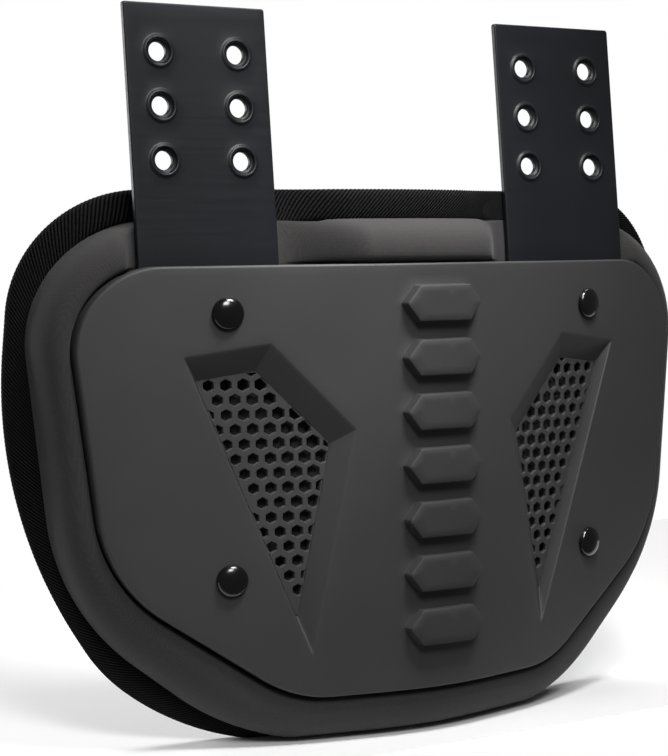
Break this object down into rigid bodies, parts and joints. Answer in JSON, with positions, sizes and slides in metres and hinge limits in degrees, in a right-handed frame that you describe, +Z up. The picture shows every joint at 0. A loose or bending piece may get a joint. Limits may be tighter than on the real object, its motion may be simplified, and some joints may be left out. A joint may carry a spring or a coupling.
{
  "type": "football back plate",
  "caption": "Lower-back guard for football shoulder pads: a bent vented plastic shell riveted over a bound foam pad, with drilled straps to bolt it on.",
  "frame": {"origin": "under the middle of the whole plate, on the plane that it stands on", "axes": "+Z up along the spine, -Y out of the shell's face, +X across the back to the viewer's right"},
  "size_m": [0.3356, 0.0724, 0.3038],
  "materials": {
    "shell": "matte moulded",
    "grille": "matte moulded",
    "pad": "fine knit over foam",
    "binding": "ribbed tape",
    "strap": "satin",
    "rivet": "gloss"
  },
  "bodies": {
    "root": {"shell": "shell", "vent_grille_left": "grille", "vent_grille_right": "grille", "pad": "pad", "binding": "binding", "strap_left": "strap", "strap_right": "strap", "rivet_top_left": "rivet", "rivet_top_right": "rivet", "rivet_bottom_left": "rivet", "rivet_bottom_right": "rivet"}
  },
  "joints": []
}
